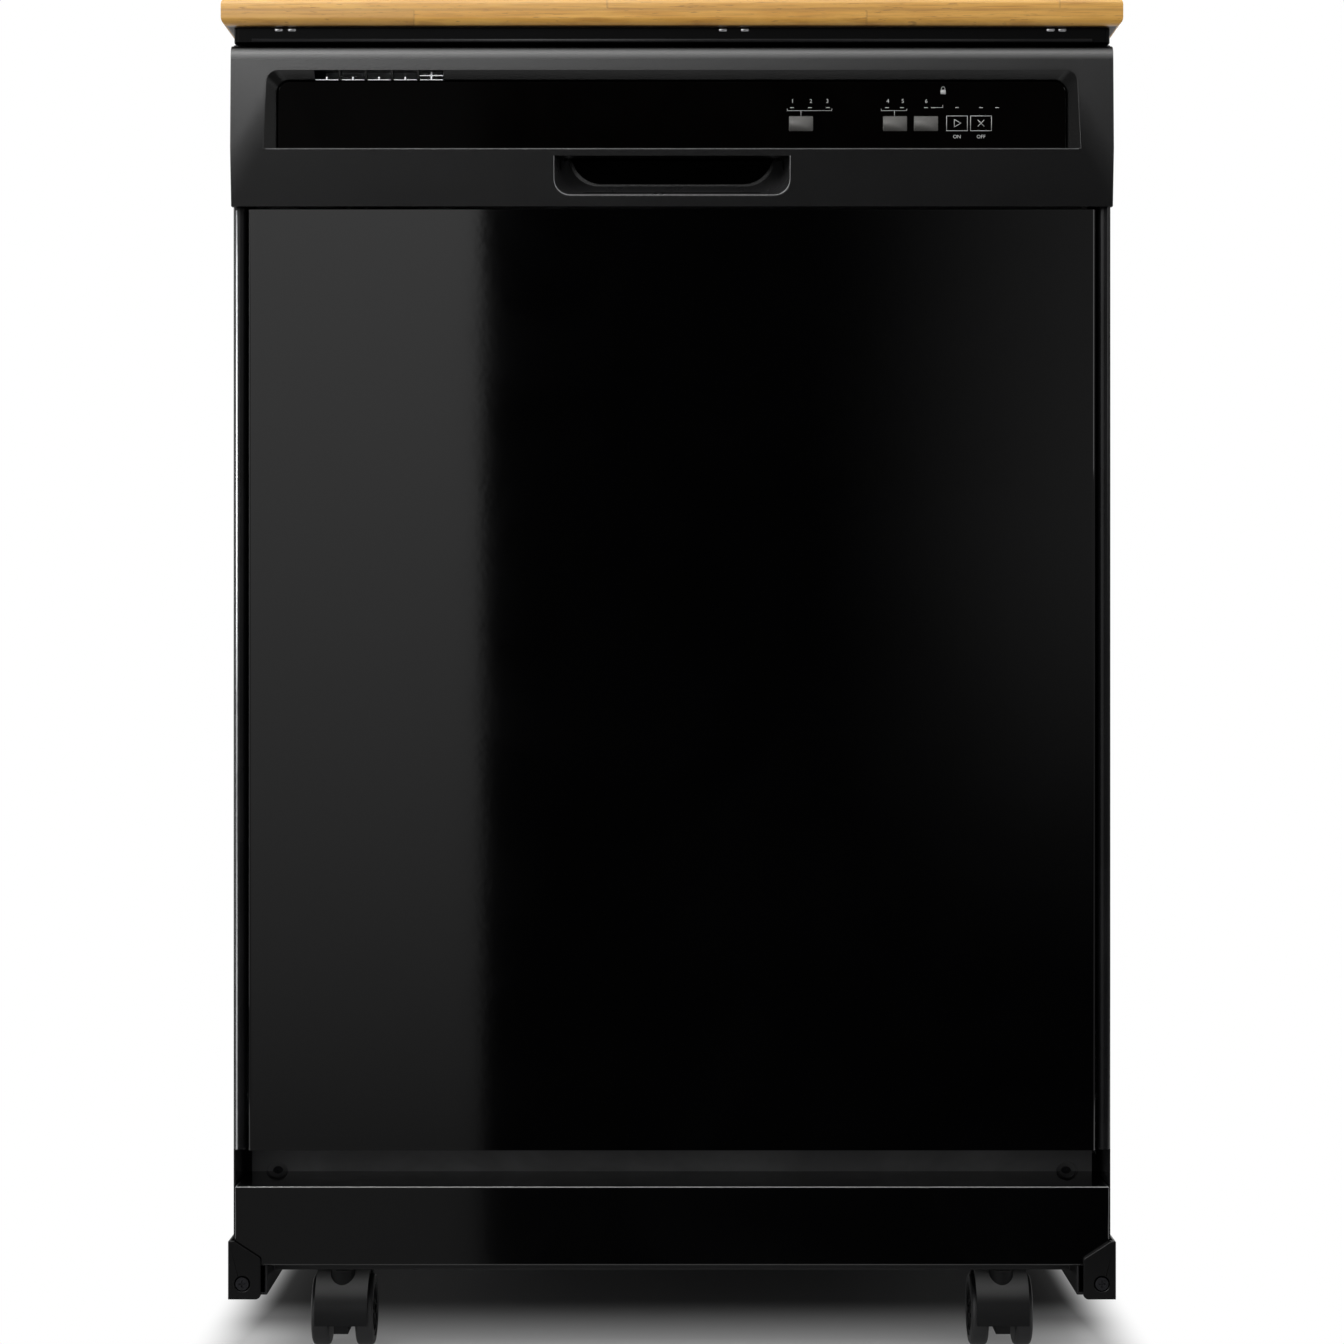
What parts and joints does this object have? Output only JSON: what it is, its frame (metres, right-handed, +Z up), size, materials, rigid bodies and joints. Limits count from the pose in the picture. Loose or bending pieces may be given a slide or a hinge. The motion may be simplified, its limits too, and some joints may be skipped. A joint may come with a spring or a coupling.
{
  "type": "portable dishwasher on casters",
  "caption": "Free-standing dishwasher on swivel casters with a wood-look worktop, drop-down front door, sliding wire racks and rotating spray arms.",
  "frame": {"origin": "on the floor under the middle of the worktop", "axes": "+Z up, +X to the right of a person facing the door, -Y out of the door towards that person"},
  "size_m": [0.618, 0.668, 0.943],
  "materials": {
    "maple_laminate": "butcher-block style laminate, satin",
    "black_frame": "fine texture",
    "black_steel": "satin enamel",
    "gloss_black_steel": "high gloss enamel",
    "console_plastic": "fine spark texture",
    "insert_gloss": "polished",
    "skirt_plastic": "satin",
    "bracket_plastic": "fine texture",
    "caster_plastic": "coarse texture",
    "caster_tread": "matt polymer tread",
    "zinc_steel": "zinc plated",
    "screw_steel": "black oxide",
    "frame_steel": "powder coat",
    "pan_plastic": "moulded",
    "stainless": "fine brushed",
    "seal_rubber": "matt",
    "grey_plastic": "satin",
    "dark_grey_plastic": "satin",
    "white_plastic": "satin",
    "blue_plastic": "satin",
    "lid_plastic": "satin",
    "heater_steel": "heat tinted",
    "spring_steel": "oiled",
    "board_green": "solder mask",
    "rack_nylon": "nylon coated wire",
    "pawl_nylon": "natural nylon"
  },
  "bodies": {
    "cabinet": {"worktop": "maple_laminate", "worktop_frame": "black_frame", "side_panel_left": "black_steel", "side_panel_right": "black_steel", "rear_panel": "black_steel", "hose_compartment": "dark_grey_plastic", "hose_glands": "dark_grey_plastic", "base_frame": "frame_steel", "base_pan": "pan_plastic", "kick_skirt": "skirt_plastic", "access_panel": "black_steel", "corner_brackets": "bracket_plastic", "cabinet_screws": "screw_steel", "caster_stems": "zinc_steel", "tub": "stainless", "tub_gasket": "seal_rubber", "rack_rails": "stainless", "sump": "grey_plastic", "heating_element": "heater_steel", "wash_and_drain_pumps": "dark_grey_plastic", "inlet_valve": "white_plastic", "feed_tube": "grey_plastic", "hinge_brackets": "zinc_steel", "hinge_pins": "zinc_steel", "door_springs": "spring_steel", "latch_strike": "zinc_steel"},
    "door": {"door_outer_panel": "gloss_black_steel", "console": "console_plastic", "control_insert": "insert_gloss", "control_board": "board_green", "door_liner": "stainless", "detergent_dispenser": "white_plastic", "latch_body": "white_plastic", "hinge_arms": "zinc_steel", "door_bottom_seal": "seal_rubber"},
    "soap_lid": {"dispenser_lid": "lid_plastic"},
    "rinse_cap": {"rinse_aid_cap": "blue_plastic"},
    "pawl": {"latch_pawl": "pawl_nylon"},
    "filter_cup": {"filter": "dark_grey_plastic"},
    "float": {"overfill_float": "white_plastic"},
    "lower_arm": {"lower_spray_arm": "grey_plastic"},
    "upper_rack_body": {"upper_rack": "rack_nylon", "upper_spray_manifold": "grey_plastic"},
    "upper_arm": {"upper_spray_arm": "grey_plastic"},
    "lower_rack_body": {"lower_rack": "rack_nylon", "silverware_basket": "dark_grey_plastic"},
    "rack_wheels_front": {"lower_rack_wheels_front": "dark_grey_plastic"},
    "rack_wheels_rear": {"lower_rack_wheels_rear": "dark_grey_plastic"},
    "caster_front_left": {"caster_hood_front_left": "caster_plastic"},
    "wheel_front_left_inner": {"wheel_front_left_inner": "caster_tread"},
    "wheel_front_left_outer": {"wheel_front_left_outer": "caster_tread"},
    "caster_front_right": {"caster_hood_front_right": "caster_plastic"},
    "wheel_front_right_inner": {"wheel_front_right_inner": "caster_tread"},
    "wheel_front_right_outer": {"wheel_front_right_outer": "caster_tread"},
    "caster_rear_left": {"caster_hood_rear_left": "caster_plastic"},
    "wheel_rear_left_inner": {"wheel_rear_left_inner": "caster_tread"},
    "wheel_rear_left_outer": {"wheel_rear_left_outer": "caster_tread"},
    "caster_rear_right": {"caster_hood_rear_right": "caster_plastic"},
    "wheel_rear_right_inner": {"wheel_rear_right_inner": "caster_tread"},
    "wheel_rear_right_outer": {"wheel_rear_right_outer": "caster_tread"}
  },
  "joints": [
    {"name": "door_hinge", "type": "hinge", "parent": "cabinet", "child": "door", "pos_m": [0, -0.287, 0.182], "axis": [1, 0, 0], "range_deg": [0, 90], "stiffness_Nm_per_rad": 14, "deforming": ["door_springs"]},
    {"name": "latch_pawl_turn", "type": "hinge", "parent": "door", "child": "pawl", "pos_m": [0, -0.297, 0.886], "axis": [1, 0, 0], "range_deg": [0, 25], "stiffness_Nm_per_rad": 0.02},
    {"name": "soap_lid_slide", "type": "slide", "parent": "door", "child": "soap_lid", "axis": [0, 0, 1], "range_m": [0, 0.056]},
    {"name": "rinse_cap_turn", "type": "hinge", "parent": "door", "child": "rinse_cap", "pos_m": [0.095, -0.263, 0.495], "axis": [0, -1, 0], "range_deg": [0, 90]},
    {"name": "filter_turn", "type": "hinge", "parent": "cabinet", "child": "filter_cup", "pos_m": [0, -0.095, 0.18], "axis": [0, 0, 1], "range_deg": [0, 90]},
    {"name": "float_lift", "type": "slide", "parent": "cabinet", "child": "float", "axis": [0, 0, 1], "range_m": [0, 0.012]},
    {"name": "lower_arm_spin", "type": "hinge", "parent": "cabinet", "child": "lower_arm", "pos_m": [0, 0, 0.226], "axis": [0, 0, 1], "continuous": true},
    {"name": "upper_rack_slide", "type": "slide", "parent": "cabinet", "child": "upper_rack_body", "axis": [0, -1, 0], "range_m": [0, 0.43]},
    {"name": "upper_arm_spin", "type": "hinge", "parent": "upper_rack_body", "child": "upper_arm", "pos_m": [0, 0, 0.5357], "axis": [0, 0, 1], "continuous": true},
    {"name": "lower_rack_slide", "type": "slide", "parent": "cabinet", "child": "lower_rack_body", "axis": [0, -1, 0], "range_m": [0, 0.48]},
    {"name": "rack_wheels_front_spin", "type": "hinge", "parent": "lower_rack_body", "child": "rack_wheels_front", "pos_m": [0, -0.205, 0.2225], "axis": [1, 0, 0], "continuous": true},
    {"name": "rack_wheels_rear_spin", "type": "hinge", "parent": "lower_rack_body", "child": "rack_wheels_rear", "pos_m": [0, 0.205, 0.2225], "axis": [1, 0, 0], "continuous": true},
    {"name": "caster_front_left_swivel", "type": "hinge", "parent": "cabinet", "child": "caster_front_left", "pos_m": [-0.233, -0.262, 0.05], "axis": [0, 0, 1], "continuous": true},
    {"name": "wheel_front_left_inner_spin", "type": "hinge", "parent": "caster_front_left", "child": "wheel_front_left_inner", "pos_m": [-0.233, -0.248, 0.025], "axis": [1, 0, 0], "continuous": true},
    {"name": "wheel_front_left_outer_spin", "type": "hinge", "parent": "caster_front_left", "child": "wheel_front_left_outer", "pos_m": [-0.233, -0.248, 0.025], "axis": [1, 0, 0], "continuous": true},
    {"name": "caster_front_right_swivel", "type": "hinge", "parent": "cabinet", "child": "caster_front_right", "pos_m": [0.233, -0.262, 0.05], "axis": [0, 0, 1], "continuous": true},
    {"name": "wheel_front_right_inner_spin", "type": "hinge", "parent": "caster_front_right", "child": "wheel_front_right_inner", "pos_m": [0.233, -0.248, 0.025], "axis": [1, 0, 0], "continuous": true},
    {"name": "wheel_front_right_outer_spin", "type": "hinge", "parent": "caster_front_right", "child": "wheel_front_right_outer", "pos_m": [0.233, -0.248, 0.025], "axis": [1, 0, 0], "continuous": true},
    {"name": "caster_rear_left_swivel", "type": "hinge", "parent": "cabinet", "child": "caster_rear_left", "pos_m": [-0.233, 0.262, 0.05], "axis": [0, 0, 1], "continuous": true},
    {"name": "wheel_rear_left_inner_spin", "type": "hinge", "parent": "caster_rear_left", "child": "wheel_rear_left_inner", "pos_m": [-0.233, 0.276, 0.025], "axis": [1, 0, 0], "continuous": true},
    {"name": "wheel_rear_left_outer_spin", "type": "hinge", "parent": "caster_rear_left", "child": "wheel_rear_left_outer", "pos_m": [-0.233, 0.276, 0.025], "axis": [1, 0, 0], "continuous": true},
    {"name": "caster_rear_right_swivel", "type": "hinge", "parent": "cabinet", "child": "caster_rear_right", "pos_m": [0.233, 0.262, 0.05], "axis": [0, 0, 1], "continuous": true},
    {"name": "wheel_rear_right_inner_spin", "type": "hinge", "parent": "caster_rear_right", "child": "wheel_rear_right_inner", "pos_m": [0.233, 0.276, 0.025], "axis": [1, 0, 0], "continuous": true},
    {"name": "wheel_rear_right_outer_spin", "type": "hinge", "parent": "caster_rear_right", "child": "wheel_rear_right_outer", "pos_m": [0.233, 0.276, 0.025], "axis": [1, 0, 0], "continuous": true}
  ],
  "couplings": [
    {"joint": "upper_rack_slide", "follows": "door_hinge", "m_per_rad": 0.27},
    {"joint": "lower_rack_slide", "follows": "door_hinge", "m_per_rad": 0.016},
    {"joint": "rack_wheels_front_spin", "follows": "door_hinge", "ratio": 1},
    {"joint": "rack_wheels_rear_spin", "follows": "door_hinge", "ratio": 1}
  ]
}
